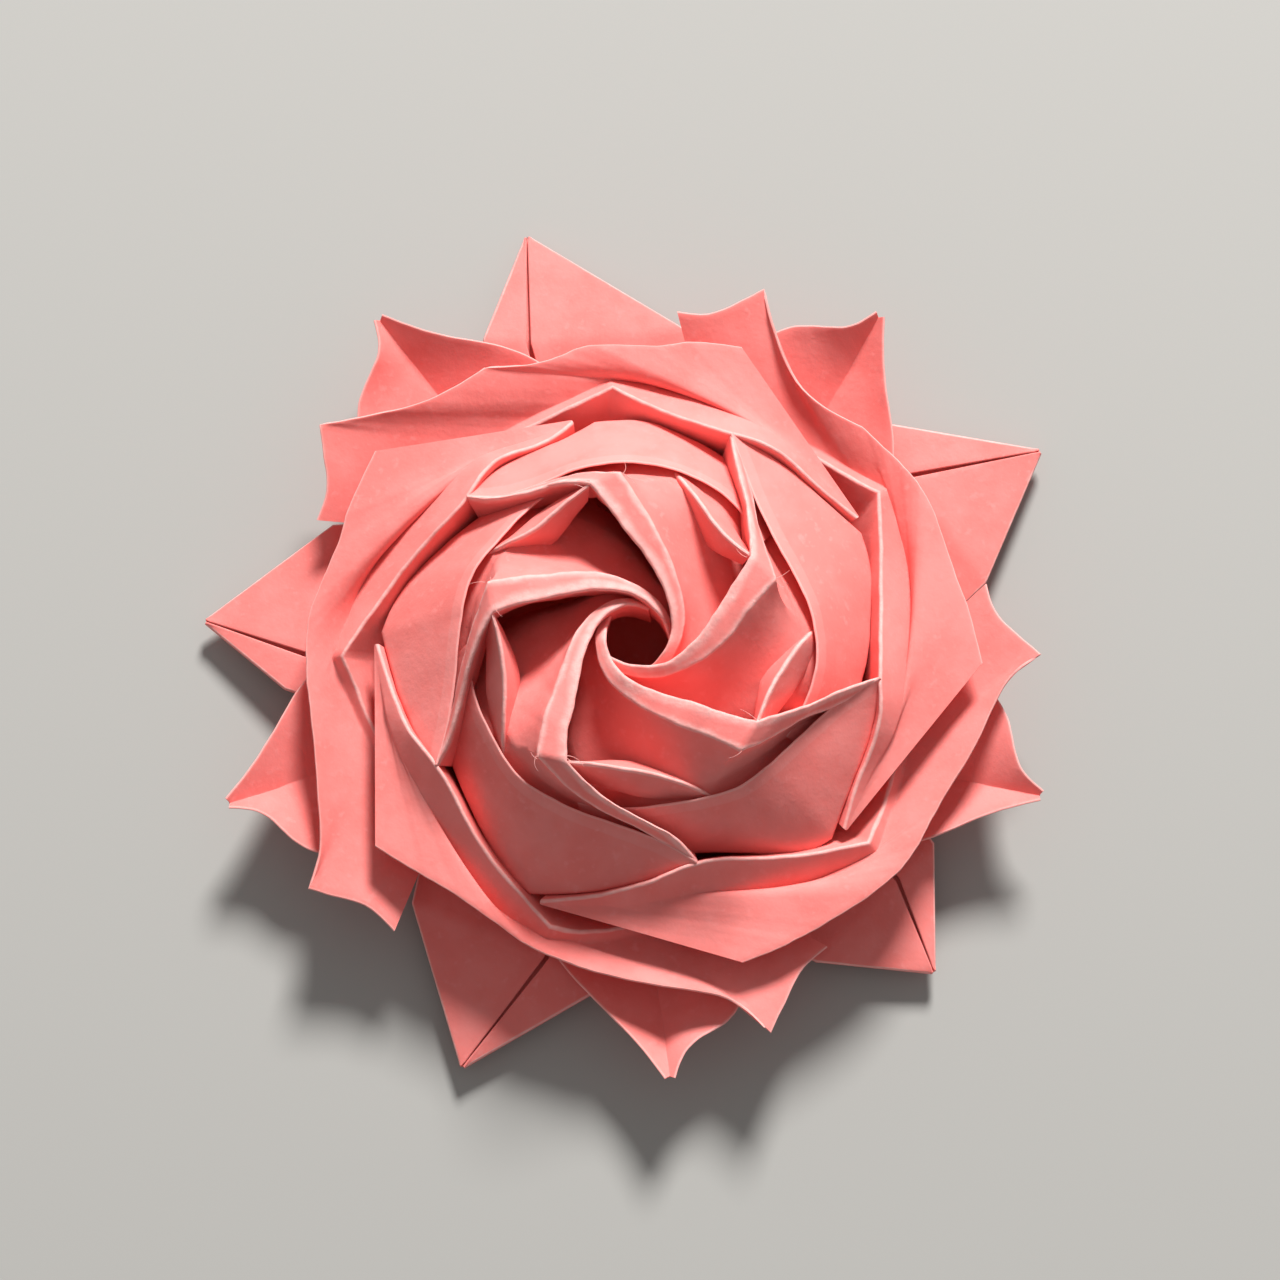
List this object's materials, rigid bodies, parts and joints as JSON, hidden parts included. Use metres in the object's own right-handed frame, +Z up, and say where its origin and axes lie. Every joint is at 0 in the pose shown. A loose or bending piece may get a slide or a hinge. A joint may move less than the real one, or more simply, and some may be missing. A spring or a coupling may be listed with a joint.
{
  "type": "folded paper rose",
  "caption": "Folded paper rose: petals spiral into a small central hole above a ring of pointed flaps and slit sepals, on a flat twist underneath.",
  "frame": {"origin": "middle of the flat underside, where the rose rests on a table", "axes": "+Z up through the middle of the rose, +Y towards the top of the picture, +X to its right"},
  "size_m": [0.0683, 0.0705, 0.0178],
  "materials": {
    "paper": "matte salmon pink paper, paler along its worn folds"
  },
  "bodies": {
    "root": {"folded_rose": "paper"}
  },
  "joints": []
}
